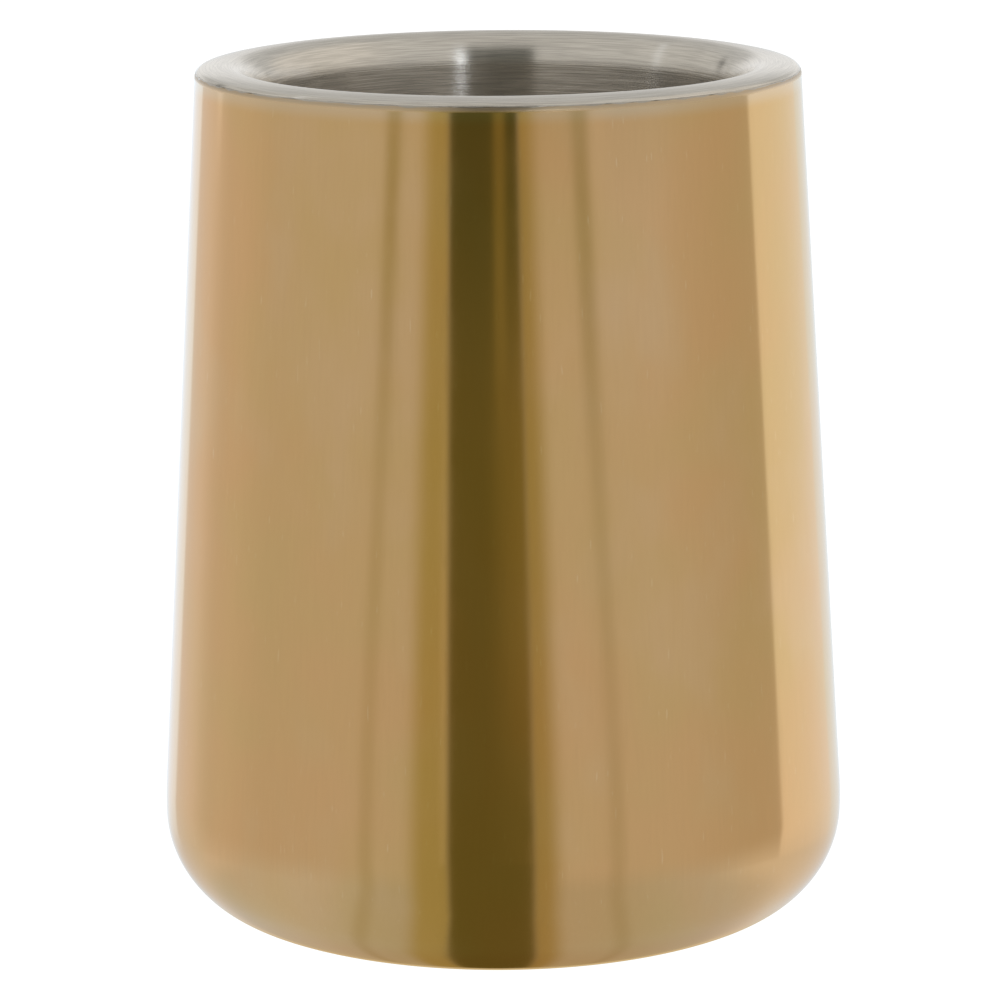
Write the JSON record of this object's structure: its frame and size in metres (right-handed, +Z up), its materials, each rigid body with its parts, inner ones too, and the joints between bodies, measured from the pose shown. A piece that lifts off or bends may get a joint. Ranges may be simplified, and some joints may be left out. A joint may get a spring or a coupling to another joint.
{
  "type": "champagne bucket",
  "caption": "Tapered double-walled bucket that keeps a bottle on ice: gold-coated outer shell, plain brushed steel liner with a rolled lip, and a closed base on a non-slip pad.",
  "frame": {"origin": "middle of the underside of the non-slip pad, which is the surface that the bucket stands on", "axes": "+Z up along the bucket's axis, out of its mouth; the bucket is round, so +X and +Y are any two directions square to it"},
  "size_m": [0.16, 0.16, 0.2036],
  "materials": {
    "gold_coated_steel": "polished",
    "brushed_liner_steel": "satin",
    "ground_weld_steel": "satin",
    "support_foam": "matte",
    "plug_silicone": "satin",
    "pad_tape": "matte",
    "pad_rubber": "matte"
  },
  "bodies": {
    "root": {"outer_shell": "gold_coated_steel", "inner_liner": "brushed_liner_steel", "lip_weld_bead": "ground_weld_steel", "base_plate": "gold_coated_steel", "base_weld_bead": "gold_coated_steel", "liner_support_ring": "support_foam", "vent_plug": "plug_silicone", "pad_tape": "pad_tape", "base_pad": "pad_rubber"}
  },
  "joints": []
}
